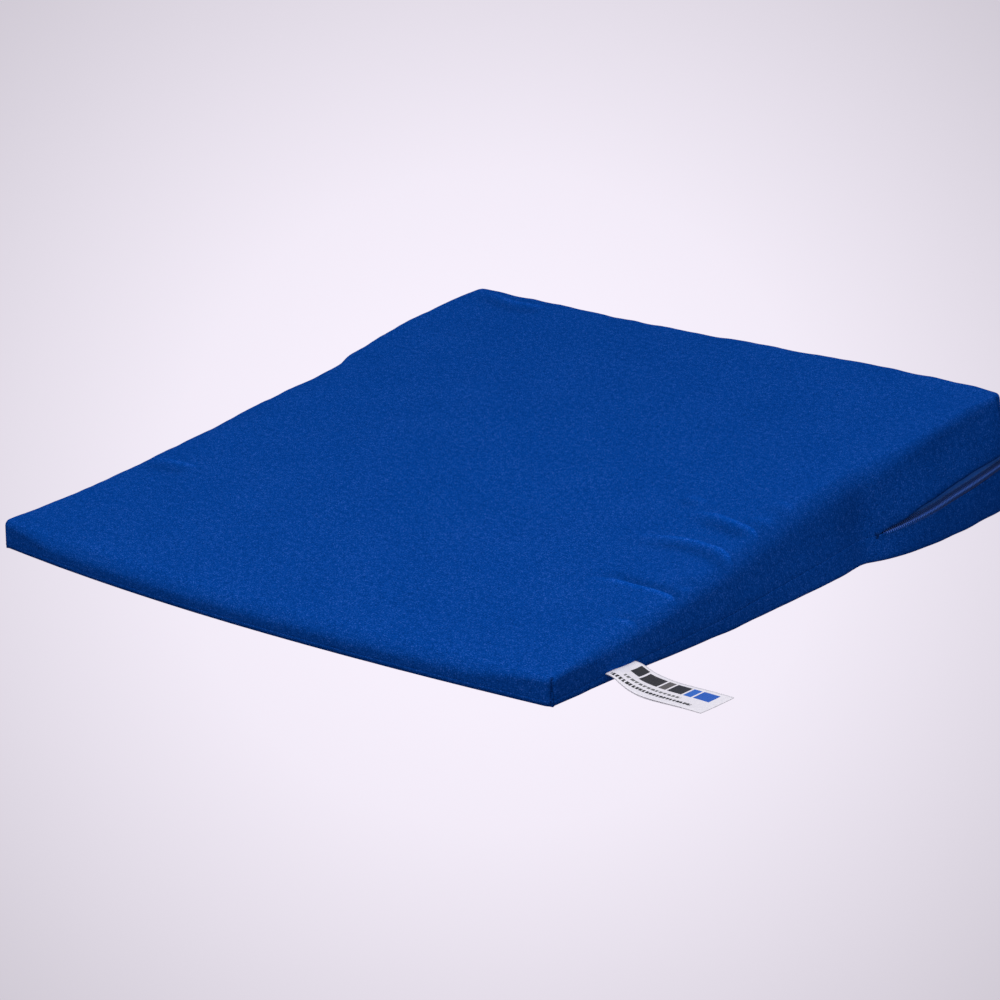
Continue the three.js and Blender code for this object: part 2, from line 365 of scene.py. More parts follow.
def lips(x, y):
    """How far the upper and the lower lip stand from the zip's centre line."""
    ahead = y - ZIP_TIP_Y
    left = 4.6 * MM * smooth(ahead, 0, 13 * MM)
    right_up = through(ahead, UPPER_LIP)
    right_down = through(ahead, LOWER_LIP)
    across = smooth(x, -HALF_W + 12 * MM, -HALF_W + 90 * MM)
    ripple = 0.3 * MM * np.sin(x / (31 * MM)) * along_end(x)
    back_up = (4.6 - 0.2 * across) * MM + ripple
    back_down = (4.6 - 2.7 * across) * MM - 0.6 * ripple
    on_back = (np.abs(x) < HALF_W - 1e-9) & (y > 0)
    upper = np.where(on_back, back_up, np.where(x > 0, right_up, left))
    lower = np.where(on_back, back_down, np.where(x > 0, right_down, left))
    return upper, lower


def joint_line(y):
    """Height of the line where the cover's halves meet: the seam, then the zip."""
    return np.where(y < ZIP_TIP_Y, seam_z(y), zip_z(y))


# How far the foot of the right wall stands out from its straight line: it is pulled
# in just ahead of the zip's tip, and the slack cloth below the zip swells
RIGHT_FOOT = [
    (-191, 0), (-150, 0), (-100, 1.4), (-55, 2.1), (-20, 0.8), (0, 0), (20, -0.9),
    (40, -2.3), (58, -4.5), (67, -4.9), (75, -2.2), (84, 0.4), (102, 3.4), (119, 4.6),
    (138, 4.3), (160, 3.0), (175, 1.6), (191, 0),
]
# How far the right wall leans in at its top
RIGHT_LEAN = [
    (-191, 0), (-165, 0.8), (-110, 2.2), (-60, 4.6), (-30, 9.0), (0, 13.0), (30, 15.2),
    (70, 13.0), (110, 9.0), (145, 8.4), (172, 7.2), (191, 5.0),
]


def give(points):
    """The soft shape of the whole cushion: how foam and cloth bow and dent."""
    x, y, z = points[:, 0], points[:, 1], points[:, 2]
    moved = points.copy()
    front = np.clip(-y / HALF_D, 0, None) ** 3
    across = x / HALF_W
    moved[:, 1] -= (FRONT_BOW * (1 - across ** 2) + 1.5 * MM * across ** 3) * front
    near_wall = bell(HALF_W - np.abs(x), 18 * MM, 1)
    foot = through(y, RIGHT_FOOT)
    low = 1 - smooth(z, 0.25 * top_z(y), 0.9 * top_z(y))
    right = np.where(foot > 0, foot * low, foot * (0.3 + 0.7 * low))
    dent = 2.2 * MM * bell(y - 62 * MM, 10 * MM)
    left = -dent * (1 - smooth(y, ZIP_TIP_Y - 14 * MM, ZIP_TIP_Y))
    moved[:, 0] += np.where(x > 0, right, -left) * near_wall
    by_wall = bell(HALF_W - x, 32 * MM, 1)
    high = np.clip(z / top_z(y), 0, 1) ** (1 + smooth(y, 130 * MM, HALF_D))
    moved[:, 0] -= through(y, RIGHT_LEAN) * high * by_wall * (x > 0)
    return moved


UPPER_ROWS = 22
LOWER_ROWS = 10
GRID_STEP = 5.4 * MM
FINE_PLACES = (-96, -44, -17)  # where creases cross the grid
# How the cloth turns in at a seam or lip: inwards, and past the line
FOLD = np.array([[0.45, 0.2], [0.85, 0.05], [1.15, -0.8], [1.25, -4.0]]) * MM


def rolled(inside, bend):
    """For a point `inside` the wall, how far in and how far down it lies once the edge
    is rounded to radius `bend`."""
    near = np.clip(bend - inside, 0, None)
    stretch = np.where(inside < bend, bend / np.hypot(near, bend), 1.0)
    deep = np.where(inside < bend, bend - near * stretch, inside)
    fall = np.where(inside < bend, bend - bend * stretch, 0.0)
    return deep, fall


class Plan:
    """A graded grid over the cushion's plan, and its outline, counter-clockwise."""

    def __init__(self, step, fine_places=()):
        xs = graded(HALF_W, step)
        ys = graded(HALF_D, step, fine_places)
        index = np.arange(len(xs) * len(ys)).reshape(len(xs), len(ys))
        self.x, self.y = (g.ravel() for g in np.meshgrid(xs, ys, indexing="ij"))
        self.quads = np.stack(
            [index[:-1, :-1], index[1:, :-1], index[1:, 1:], index[:-1, 1:]], axis=-1
        ).reshape(-1, 4)
        self.loop = np.concatenate(
            [index[:-1, 0], index[-1, :-1], index[:0:-1, -1], index[0, :0:-1]]
        )
        self.wall, self.out, self.inside = nearest_wall(self.x, self.y)

    def place(self, deep, z, at=slice(None)):
        """The grid's points, or some of them, `deep` inside the wall at height z."""
        flat = self.wall[at] - self.out[at] * deep[:, None]
        return np.column_stack([flat, z])

    def rings(self, rows):
        """The indices of `rows` rings of points that follow the grid's own."""
        count = len(self.loop)
        return [len(self.x) + k * count + np.arange(count) for k in range(rows)]


def walls(rings):
    """Faces between closed rings of points, each ring below the last."""
    bands = []
    for ring, below in zip(rings, rings[1:]):
        bands.append(np.stack([ring, below, np.roll(below, -1), np.roll(ring, -1)], axis=1))
    return np.concatenate(bands)


def hem_line(x, y, upper, zipped):
    """Height of the edge of one half of the cover."""
    up, down = lips(x, y)
    slit = (0.04 + 0.11 * zipped) * MM
    return joint_line(y) + np.where(upper, slit + up, -slit - down)


def cover_half(name, upper):
    """One half of the cover as a sheet: its flat face, its walls, and the turned-in
    edge along the seam and the zip's lip."""
    grid = Plan(GRID_STEP, FINE_PLACES if upper else ())
    loop, sign = grid.loop, 1 if upper else -1
    edge_x, edge_y = grid.x[loop], grid.y[loop]
    if upper:
        base = top_z(grid.y) - edge_sag(grid.x, grid.y)
        bend = top_edge_round(grid.x, grid.y)
    else:
        base = np.zeros_like(grid.x)
        bend = np.full_like(grid.x, BASE_EDGE)
    zipped = smooth(edge_y, ZIP_TIP_Y - 3 * MM, ZIP_TIP_Y + 3 * MM)
    tuck = SEAM_TUCK + (LIP_TUCK - SEAM_TUCK) * zipped
    height = np.abs(base[loop] - hem_line(edge_x, edge_y, upper, zipped))
    bend[loop] = np.minimum(bend[loop], 0.8 * height)

    deep, fall = rolled(grid.inside, bend)
    points, fallen = [grid.place(deep, base - sign * fall)], [np.zeros_like(grid.x)]
    rows = UPPER_ROWS if upper else LOWER_ROWS
    for k in range(1, rows + 1):
        down = height * 0.5 * (1 - math.cos(math.pi * k / rows))
        fall, deep = rolled(down, bend[loop])
        deep = deep + tuck * bell(height - down, LIP_TUCK, 1)
        points.append(grid.place(deep, base[loop] - sign * fall, loop))
        fallen.append(down)
    for inwards, past in FOLD:
        z = base[loop] - sign * (height + past)
        points.append(grid.place(tuck + inwards, z, loop))
        fallen.append(height + inwards)

    below = grid.rings(rows + len(FOLD))
    faces = np.concatenate([grid.quads, walls([loop, *below])])
    if not upper:
        faces = faces[:, ::-1]
    piece = add_object(name, give(np.concatenate(points)), faces.tolist())
    source = np.concatenate([np.arange(len(grid.x))] + [loop] * len(below))
    write_cloth_uv(piece.data, grid, source, np.concatenate(fallen))
    return piece


def write_cloth_uv(mesh, grid, source, fallen):
    """The cloth's flat coordinates, with the walls folded out. source gives the grid
    point that each point hangs from, and fallen how far."""
    x, y = grid.x[grid.loop], grid.y[grid.loop]
    along_x = np.abs(np.roll(x, -1) - x) > np.abs(np.roll(y, -1) - y)
    way = np.where(along_x[:, None], (0, 1), (1, 0))
    way = way * np.where(np.stack([x, y], axis=1) > 0, 1, -1)
    faces_below = len(mesh.polygons) - len(grid.quads)
    flat_way = np.zeros((len(grid.quads), 2))
    way = np.concatenate([flat_way, np.tile(way, (faces_below // len(x), 1))])
    vertex = loop_vertices(mesh)
    flat = np.stack([grid.x, grid.y], axis=1)[source[vertex]]
    set_uv(mesh, flat + np.repeat(way, 4, axis=0) * fallen[vertex][:, None])


FOAM_ROWS = 24
FOAM_STEP = 8 * MM
FOAM_INSET = 2.4 * MM  # behind the cover's walls
FOAM_TOP_GAP = 2 * MM  # below the cover's top
FOAM_BASE = 1.2 * MM  # above the floor
FOAM_ROUND = (5 * MM, 2 * MM)  # of its top and bottom edges
ZIP_GROOVE = 2 * MM


def foam_block():
    """The foam under the cover: one closed block whose walls give way along the zip."""
    grid = Plan(FOAM_STEP)
    loop = grid.loop
    top = top_z(grid.y) - edge_sag(grid.x, grid.y) - FOAM_TOP_GAP
    base = np.full_like(grid.x, FOAM_BASE)
    bend = np.minimum(top_edge_round(grid.x, grid.y), FOAM_ROUND[0])
    low_bend = np.full_like(grid.x, FOAM_ROUND[1])
    inset = FOAM_INSET * bell(grid.inside, 8 * MM, 1)
    deep, fall = rolled(grid.inside, bend)
    upper = grid.place(deep + inset, top - fall)
    deep, fall = rolled(grid.inside, low_bend)
    lower = grid.place(deep + inset, base + fall)
    points, edge_y = [upper], grid.wall[loop, 1]
    for k in range(1, FOAM_ROWS):
        z = upper[loop, 2] + (lower[loop, 2] - upper[loop, 2]) * k / FOAM_ROWS
        deep = FOAM_INSET + rolled(top[loop] - z, bend[loop])[1]
        deep += rolled(z - base[loop], low_bend[loop])[1]
        groove = smooth(TAPE_REACH + 1.5 * MM - np.abs(z - zip_z(edge_y)), 0, 1.6 * MM)
        groove *= smooth(edge_y, ZIP_TIP_Y - 4 * MM, ZIP_TIP_Y)
        points.append(grid.place(deep + ZIP_GROOVE * groove, z, loop))
    points.append(lower)
    rings = grid.rings(FOAM_ROWS - 1)
    low_start = rings[-1][-1] + 1
    faces = [grid.quads, low_start + grid.quads[:, ::-1]]
    faces.append(walls([loop, *rings, low_start + loop]))
    return add_object("foam_block", give(np.concatenate(points)), np.concatenate(faces).tolist())


# ---- Wrinkles ----------------------------------------------------------------------

# Creases pressed into the top: their run as (x, y) points in millimetres, their height,
# and the side on which the cloth dips beside the ridge: 1 behind it, -1 in front
CREASES = [
    ([(124, -12), (138, -11), (150, -13), (160, -15), (170, -19)], 1.0, -1),
    ([(114, -47), (132, -42), (148, -40), (162, -42), (172, -45), (184, -49)], 0.9, -1),
    ([(126, -98), (140, -95), (152, -95), (166, -95), (182, -95)], 1.0, 1),
    ([(150, -3), (172, -2)], 0.45, -1),
    ([(108, 3), (123, 0)], 0.45, -1),
    ([(172, -87), (178, -74)], 0.5, 1),
    ([(162, -129), (180, -125)], 0.5, 1),
    ([(152, 19), (170, 16)], 0.4, -1),
    ([(-175, -88), (-156, -90), (-138, -90)], 0.6, -1),
    ([(-178, 186), (-160, 183), (-142, 180), (-120, 181)], 0.6, -1),
]
RIDGE_WIDTH = 1.6 * MM
DIP_NARROW = (5.2 * MM, 4.0 * MM)  # a dip's distance from its ridge, and its width
DIP_BROAD = (7.5 * MM, 5.0 * MM)


def distance_to_run(run, x, y):
    """How far points are from a line of straight runs, positive on its left, and how
    far along it they are, from 0 to 1."""
    best = np.full_like(x, 1.0)
    signed, along = np.zeros_like(x), np.zeros_like(x)
    length = np.linalg.norm(np.diff(run, axis=0), axis=1)
    done = 0.0
    for start, end, size in zip(run[:-1], run[1:], length):
        way = (end - start) / size
        px, py = x - start[0], y - start[1]
        s = np.clip(px * way[0] + py * way[1], 0, size)
        dx, dy = px - s * way[0], py - s * way[1]
        gap = np.hypot(dx, dy)
        closer = gap < best
        best = np.where(closer, gap, best)
        signed = np.where(closer, gap * np.sign(way[0] * dy - way[1] * dx), signed)
        along = np.where(closer, done + s, along)
        done += size
    return signed, along / done


def creases(x, y):
    """The height of the creases, and their painted light: a painted highlight on the
    ridges, and painted shade in the dips."""
    height, tone = np.zeros_like(x), np.zeros_like(x)
    for run, ridge_height, dip_side in CREASES:
        signed, along = distance_to_run(np.array(run, float) * MM, x, y)
        fade = smooth(along, -0.05, 0.45) * (1 - smooth(along, 0.8, 1.04))
        away, width = DIP_NARROW if dip_side > 0 else DIP_BROAD
        ridge = fade * bell(signed, RIDGE_WIDTH)
        dip = fade * bell(signed * dip_side - away, width)
        height += ridge_height * MM * (ridge - 0.6 * dip)
        # painted highlight on the ridge, painted shade in the dip
        tone += ridge_height * (1.3 * ridge - 0.75 * dip)
    return height, tone


def ripples(x, y, seed, count, shortest, longest):
    """Soft random unevenness, about -1 to 1, from waves of these lengths."""
    random = np.random.default_rng(seed)
    total = np.zeros_like(x)
    for _ in range(count):
        turn = random.uniform(0, math.pi)
        step = random.uniform(shortest, longest)
        phase = random.uniform(0, 2 * math.pi)
        total += np.sin(2 * math.pi * (x * math.cos(turn) + y * math.sin(turn)) / step + phase)
    return total / math.sqrt(count)


def puckers(along, seed):
    """Short wrinkles across an edge, which come and go along it."""
    random = np.random.default_rng(seed)
    total = np.zeros_like(along)
    for step in (9 * MM, 13 * MM, 19 * MM, 28 * MM):
        phase, slow = random.uniform(0, 2 * math.pi, 2)
        wobble = 1.1 * np.sin(2 * math.pi * along / (67 * MM) + slow)
        swell = 0.55 + 0.45 * np.sin(2 * math.pi * along / (91 * MM) + phase)
        total += swell * np.sin(2 * math.pi * along / step + phase + wobble)
    return total / 2


def corner_seam(points):
    """1 on the upright seams at the four corners, 0 a little way from them."""
    thin_end = points[:, 1] < 0
    radius = np.where(thin_end, FRONT_CORNER, BACK_CORNER)
    arm_x = np.abs(points[:, 0]) - (HALF_W - radius)
    arm_y = np.abs(points[:, 1]) - (HALF_D - radius)
    beyond = np.minimum(arm_x, arm_y)
    off = (arm_x - arm_y) / math.sqrt(2) + np.where(thin_end, 0.4 * MM, 0)
    return bell(off, 0.75 * MM) * smooth(beyond, 0, 1.5 * MM)


def lip_shade(x, y, z, upper):
    """Where painted shade goes on the zip's lips: 1 on the lips, where the cloth turns in, and 0 a
    little way from them.
    """
    on_side = HALF_W - np.abs(x) < HALF_D - np.abs(y)
    up, down = lips(np.where(on_side, np.sign(x) * HALF_W, x), y)
    off = (z - joint_line(y) - up) if upper else (joint_line(y) - down - z)
    zipped = smooth(y, ZIP_TIP_Y - 2 * MM, ZIP_TIP_Y + 4 * MM)
    return zipped * bell(np.clip(off, 0, None), 1.1 * MM, 1)


def wrinkle(piece, upper):
    """Presses the cloth's creases, puckers and corner seams into its mesh, and stores the creases'
    painted highlight and painted shade, the lips' painted shade and the darker corner seams as a
    point attribute.
    """
    mesh = piece.data
    points, normals = get_vectors(mesh), get_vectors(mesh, "normal")
    x, y, z = points.T
    to_side = HALF_W - np.abs(x)
    to_end = HALF_D - np.abs(y)
    flat = smooth(np.abs(normals[:, 2]), 0.5, 0.95)
    seam = corner_seam(points) * (1 - flat)
    push = -1.2 * MM * seam
    tone = np.zeros_like(x)
    if upper:
        push += 0.22 * MM * ripples(x, y, 4, 9, 34 * MM, 90 * MM) * flat
        side_fade = bell(to_side - 5 * MM, 13 * MM)
        end_fade = bell(to_end - 4 * MM, 10 * MM)
        strength = np.where(x > 0, 0.16, 0.11) * MM
        push += strength * side_fade * along_side(y) * puckers(y + 0.35 * to_side, 11) * flat
        push += 0.09 * MM * end_fade * along_end(x) * puckers(x + 0.3 * to_end, 23) * flat
        # tone: the creases' painted highlight and painted shade
        height, tone = creases(x, y)
        push += height * flat
    wall = 1 - flat
    low = np.where(z < joint_line(y) + 12 * MM, 1.0, 0.5)
    side_wall = wall * smooth(to_end, 4 * MM, 20 * MM)
    end_wall = wall * smooth(to_side, 4 * MM, 20 * MM) * smooth(y, 0, 0.1)
    push += 0.1 * MM * side_wall * low * puckers(y + 0.4 * z, 31)
    push += 0.12 * MM * end_wall * low * puckers(x + 0.4 * z, 37)
    moved = points + normals * push[:, None]
    moved[:, 2] = np.maximum(moved[:, 2], 0)  # it lies on the floor
    set_points(mesh, moved)
    # painted shade on the zip's lips and darker corner seams, added to the creases' painted
    # highlight and painted shade
    tone = tone * flat - 0.9 * seam - 1.9 * wall * lip_shade(x, y, z, upper)
    shade_layer = mesh.attributes.new(PAINTED_LIGHT_TONE, "FLOAT", "POINT")
    shade_layer.data.foreach_set("value", tone.astype(np.float32))


SIM_FRAMES = 20
MOST_MOVE = 1.3 * MM
CLOTH_SETTINGS = {
    "quality": 4,
    "mass": 0.15,
    "tension_stiffness": 15,
    "compression_stiffness": 15,
    "shear_stiffness": 5,
    "bending_stiffness": 0.3,
    "vertex_group_mass": "hold",
    "pin_stiffness": 0.6,
    "vertex_group_shrink": "slack",
    "shrink_min": 0.0,
    "shrink_max": -0.06,  # up to 6% too large
}


def weigh(piece, name, weights):
    group = piece.vertex_groups.new(name=name)
    for i, weight in enumerate(weights):
        group.add([i], float(weight), "REPLACE")


def simulated(piece):
    """Where the piece's points are after its cloth has moved for SIM_FRAMES frames."""
    cloth_sim = piece.modifiers.new("settle", "CLOTH")
    for name, value in CLOTH_SETTINGS.items():
        setattr(cloth_sim.settings, name, value)
    cloth_sim.settings.effector_weights.gravity = 0.0
    cloth_sim.point_cache.frame_start = 1
    cloth_sim.point_cache.frame_end = SIM_FRAMES
    for frame_number in range(1, SIM_FRAMES + 1):
        bpy.context.scene.frame_set(frame_number)
    depsgraph = bpy.context.evaluated_depsgraph_get()
    moved = get_vectors(piece.evaluated_get(depsgraph).data)
    piece.modifiers.clear()
    piece.vertex_groups.clear()
    bpy.context.scene.frame_set(1)
    return moved


def settled(piece, upper):
    """Lets the sewn cloth, made a little too large, settle into its own slack: a cloth
    simulation held at its seams and hems, with a soft spring from each other point to
    where it started. The foam isn't in it, and points move half a millimetre at most."""
    points = get_vectors(piece.data)
    normals = get_vectors(piece.data, "normal")
    x, y, z = points.T
    to_side, to_end = HALF_W - np.abs(x), HALF_D - np.abs(y)
    off_line = (z - joint_line(y)) * (1 if upper else -1)
    free = smooth(off_line, 2 * MM, 9 * MM)
    free *= smooth(np.maximum(to_side, to_end), 3 * MM, 12 * MM)
    uneven = 0.2 * MM * ripples(x, y, 17, 7, 18 * MM, 44 * MM) * free
    set_points(piece.data, points + normals * uneven[:, None])
    weigh(piece, "hold", 1 - 0.9 * free)
    weigh(piece, "slack", bell(np.minimum(to_side, to_end), 26 * MM, 1))
    step = simulated(piece) - points
    length = np.linalg.norm(step, axis=1, keepdims=True)
    step *= np.minimum(1, MOST_MOVE / np.maximum(length, 1e-9))
    set_points(piece.data, points + step)


def subdivided(piece):
    """One smooth subdivision, as real points."""
    modifier = piece.modifiers.new("finer", "SUBSURF")
    modifier.levels = modifier.render_levels = 1
    modifier.boundary_smooth = "PRESERVE_CORNERS"
    apply_modifiers(piece)


# ---- Zip ---------------------------------------------------------------------------

ZIP_RUN = HALF_D - BACK_CORNER - ZIP_TIP_Y  # straight part on each side
ZIP_BACK = 2 * (HALF_W - BACK_CORNER)  # straight part along the thick end
ZIP_BEND = BACK_CORNER * math.pi / 2
ZIP_MARKS = np.cumsum([0, ZIP_RUN, ZIP_BEND, ZIP_BACK, ZIP_BEND, ZIP_RUN])
ZIP_LENGTH = ZIP_MARKS[-1]


def zip_points(s, across, depth):
    """Points on the zip: s along it from its right tip to its left tip, `across` upwards
    from its centre line, and `depth` behind the wall. Also the way ahead and out there."""
    turn = sum(np.clip((s - ZIP_MARKS[i]) / ZIP_BEND, 0, 1) for i in (1, 3)) * math.pi / 2
    level = np.zeros_like(turn)
    out = np.stack([np.cos(turn), np.sin(turn), level], axis=-1)
    ahead = np.stack([-np.sin(turn), np.cos(turn), level], axis=-1)
    x = HALF_W - BACK_CORNER - np.clip(s - ZIP_MARKS[2], 0, ZIP_BACK)
    y = ZIP_TIP_Y + np.clip(s, None, ZIP_MARKS[1]) - np.clip(s - ZIP_MARKS[4], 0, None)
    place = np.stack([x, np.minimum(y, HALF_D - BACK_CORNER), level], axis=-1)
    place += out * (BACK_CORNER - depth)[:, None]
    place[:, 2] = zip_z(place[:, 1]) + across
    return give(place), ahead, out


# A tape's section: how far across, in millimetres, and how far in front of its middle,
# in shares of half its thickness
TAPE_EDGE = TAPE_REACH / MM - 0.2
TAPE_SECTION = [
    (0.35, -0.6), (0.2, 0), (0.35, 0.6), (2.4, 0.75), (2.9, 1.25), (3.4, 0.8), (5.2, 0.9),
    (5.7, 1.2), (6.2, 0.9), (TAPE_EDGE - 0.3, 0.9), (TAPE_EDGE, 0), (TAPE_EDGE - 0.3, -0.9),
    (5, -0.9), (2.6, -0.9),
]
TAPE_STEPS = (45, 8, 129, 8, 45)  # along each stretch of the zip


def zip_tape(name, side, material):
    """One woven tape: a thin closed strip with a corded inner edge."""
    stretches = zip(ZIP_MARKS, ZIP_MARKS[1:], TAPE_STEPS)
    s = [np.linspace(start, end, steps, endpoint=False) for start, end, steps in stretches]
    s = np.append(np.concatenate(s), ZIP_LENGTH)
    rings = []
    for across, front in TAPE_SECTION:
        depth = np.full_like(s, TAPE_DEPTH - front * TAPE_THICK / 2)
        rings.append(zip_points(s, side * across * MM, depth)[0])
    count = len(TAPE_SECTION)
    faces = skin(len(s), count)
    if side > 0:
        faces = [f[::-1] for f in faces]
    piece = add_object(name, np.stack(rings, axis=1).reshape(-1, 3), faces, material)
    across = side * MM * np.array(TAPE_SECTION)[:, 0]
    uv = np.column_stack([np.repeat(s, count), np.tile(across, len(s))])
    set_uv(piece.data, uv[loop_vertices(piece.data)])
    return piece


COIL_PITCH = 1.3 * MM
COIL_MIDDLE = 1.02 * MM  # from the zip's centre line to the middle of each coil
COIL_HALF = 1.18 * MM
COIL_RISE = 0.5 * MM
COIL_WIRE = 0.25 * MM
COIL_START = 3 * MM  # from the zip's tips
COIL_STEPS = 10  # points for each turn
COIL_SIDES = 6


def zip_coil(name, side, material):
    """One nylon coil: a flattened helix whose turns lie between the other coil's."""
    turns = int((ZIP_LENGTH - 2 * COIL_START) / COIL_PITCH) - 1
    t = np.arange(turns * COIL_STEPS + 1) / COIL_STEPS
    s = COIL_START + (t + (0.25 if side > 0 else 0.75)) * COIL_PITCH
    across = side * (COIL_MIDDLE - COIL_HALF * np.cos(2 * math.pi * t))
    depth = COIL_DEPTH + COIL_RISE * np.sin(2 * math.pi * t)
    path, ahead, _ = zip_points(s, across, depth)
    points, faces = tube_mesh(path, ahead, COIL_WIRE, COIL_SIDES)
    piece = add_object(name, points, faces, material)
    uv = np.repeat(np.column_stack([s, across]), COIL_SIDES, axis=0)
    set_uv(piece.data, uv[loop_vertices(piece.data)])
    return piece


STITCH_PITCH = 2.4 * MM
STITCH_STEPS = 8
STITCH_ACROSS = 2.35 * MM


def zip_stitches(material):
    """The rows of thread that hold each coil on its tape: dashes that dip through it."""
    parts = []
    count = int((ZIP_LENGTH - 2 * COIL_START) / STITCH_PITCH) * STITCH_STEPS
    s = COIL_START + np.arange(count + 1) * STITCH_PITCH / STITCH_STEPS
    wave = 2 * math.pi * s / STITCH_PITCH
    for side in (1, -1):
        bob = 0.28 * MM * np.cos(wave + side)
        depth = TAPE_DEPTH - TAPE_THICK / 2 - 0.12 * MM - bob
        path, _, out = zip_points(s, side * STITCH_ACROSS, depth)
        parts.append(tube_mesh(path, out, 0.17 * MM, 5))
    return add_object("zip_stitches", *join_meshes(parts), material)


TACK_THREAD = 0.17 * MM
TACK_COUNT = 8


def bartack(name, side, material):
    """A dense bar of upright threads over the zip's tip, crossed by two more."""
    low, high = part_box("zip_bartack_right" if side > 0 else "zip_bartack_left")
    middle = (low + high) / 2
    tall = 0.62 * (high.z - low.z)
    wall_x = give(np.array([[side * HALF_W, middle.y, middle.z]]))[0, 0]
    parts = []
    t = np.linspace(-1, 1, 13)
    for i in range(TACK_COUNT):
        y = middle.y + (i - (TACK_COUNT - 1) / 2) * 1.25 * TACK_THREAD
        path = np.column_stack([
            wall_x + side * (0.28 * MM - 0.9 * MM * np.abs(t) ** 5),
            y + 0.15 * MM * math.sin(i * 2.3) * t,
            middle.z + t * tall / 2 * (1 + 0.06 * math.cos(i * 1.7)),
        ])
        parts.append(tube_mesh(path, (0.0, 1.0, 0.0), TACK_THREAD, 6))
    t = np.linspace(-1, 1, 9)
    for end in (-1, 1):
        path = np.column_stack([
            wall_x + side * (0.42 * MM - 0.6 * MM * np.abs(t) ** 4),
            middle.y + t * 0.95 * MM,
            np.full_like(t, middle.z + end * tall * 0.3),
        ])
        parts.append(tube_mesh(path, (0.0, 0.0, 1.0), TACK_THREAD, 6))
    return add_object(name, *join_meshes(parts), material)


# ---- Slider and pull tab -----------------------------------------------------------

# Drawn flat: X along the chain towards the closed side, Y across, Z out of the wall
SLIDER_PLACE = Matrix((
    (0, 0, -1, -HALF_W),
    (CHAIN_AXIS.y, CHAIN_AXIS.z, 0, PULL_PIVOT.y),
    (CHAIN_AXIS.z, -CHAIN_AXIS.y, 0, PULL_PIVOT.z),
    (0, 0, 0, 1),
))
PIN_OUT = -HALF_W - PULL_PIVOT.x  # from the wall out to the pull's hinge axis
SLIDER_HALF = 4.75 * MM
SLIDER_WIDE = 4 * MM
SLIDER_NARROW = 2.9 * MM


def flat_plate(name, outlines, low, high, bevel):
    """A plate cut from flat outlines, the first outside and the others holes in it,
    with rounded rims."""
    curve = bpy.data.curves.new(name, "CURVE")
    curve.dimensions = "2D"
    curve.fill_mode = "BOTH"
    curve.extrude = (high - low) / 2 - bevel
    curve.bevel_depth = bevel
    curve.bevel_resolution = 3
    curve.offset = -bevel
    for outline in outlines:
        spline = curve.splines.new("POLY")
        spline.points.add(len(outline) - 1)
        spline.use_cyclic_u = True
        for point, (x, y) in zip(spline.points, outline):
            point.co = (x, y, 0, 1)
    helper = linked(name, curve)
    depsgraph = bpy.context.evaluated_depsgraph_get()
    mesh = bpy.data.meshes.new_from_object(helper.evaluated_get(depsgraph))
    bpy.data.objects.remove(helper)
    bpy.data.curves.remove(curve)
    mesh.name = name
    mesh.transform(Matrix.Translation((0, 0, (low + high) / 2)))
    piece = linked(name, mesh)
    weld(piece, 0.002 * MM)
    return piece


def arc(centre, radius, start, end, steps):
    """Points of an arc in degrees, counter-clockwise if end is more than start."""
    turns = np.radians(np.linspace(start, end, steps + 1))
    return [(centre[0] + radius * math.cos(a), centre[1] + radius * math.sin(a)) for a in turns]


def mirrored(points):
    """The same outline on the other side of the X axis, in reverse."""
    return [(x, -y) for x, y in points[::-1]]


def shield(grow=0.0):
    """The slider's outline: broad shoulders where the two halves come in, and a narrow
    mouth where the closed chain leaves."""
    wide, narrow = SLIDER_WIDE + grow, SLIDER_NARROW + grow
    tail, nose = SLIDER_HALF + grow, -SLIDER_HALF - grow
    shoulder, corner = 1.9 * MM, 0.7 * MM
    right = [(tail, 0), (tail, narrow - corner)]
    right += arc((tail - corner, narrow - corner), corner, 0, 80, 4)
    right += arc((nose + shoulder + 1.2 * MM, wide - shoulder), shoulder, 80, 170, 8)
    right += [(nose + 0.5 * MM, wide * 0.42), (nose, wide * 0.2)]
    return right + mirrored(right)[:-1]


ARCH_SIDES = 16
# The slider's bridge, seen from the side: along the chain, and out, in millimetres
ARCH = [(-3.0, 0.8), (-2.75, 2.2), (-2.2, 2.95), (-1.2, 3.25), (0, 3.3), (1.2, 3.25),
        (2.2, 2.95), (2.75, 2.2), (3.0, 0.8)]


def arch(width, thick):
    """The slider's bridge, as a flat bar with soft edges."""
    path = np.array([(x, 0, z) for x, z in ARCH]) * MM
    across = np.array([0.0, 1.0, 0.0])
    up = np.cross(unit(np.gradient(path, axis=0)), across)
    turn = (np.arange(ARCH_SIDES) + 0.5) * 2 * math.pi / ARCH_SIDES
    edge = np.sign(np.cos(turn)) * np.abs(np.cos(turn)) ** 0.55 * width / 2
    tall = np.sign(np.sin(turn)) * np.abs(np.sin(turn)) ** 0.55 * thick / 2
    ring = across * edge[:, None] + up[:, None] * tall[:, None]
    points = (path[:, None] + ring).reshape(-1, 3)
    return add_object("arch", points, skin(len(path), ARCH_SIDES))


def cast(name, pieces):
    """Melts overlapping closed shapes into one cast body with soft corners."""
    mesh = bmesh.new()
    for piece in pieces:
        mesh.from_mesh(piece.data)
        bpy.data.objects.remove(piece)
    data = bpy.data.meshes.new(name)
    mesh.to_mesh(data)
    mesh.free()
    body = linked(name, data)
    remesh = body.modifiers.new("melt", "REMESH")
    remesh.mode = "VOXEL"
    remesh.voxel_size = 0.11 * MM
    remesh.use_smooth_shade = True
    soften = body.modifiers.new("soften", "SMOOTH")
    soften.factor = 0.5
    soften.iterations = 3
    apply_modifiers(body)
    return body


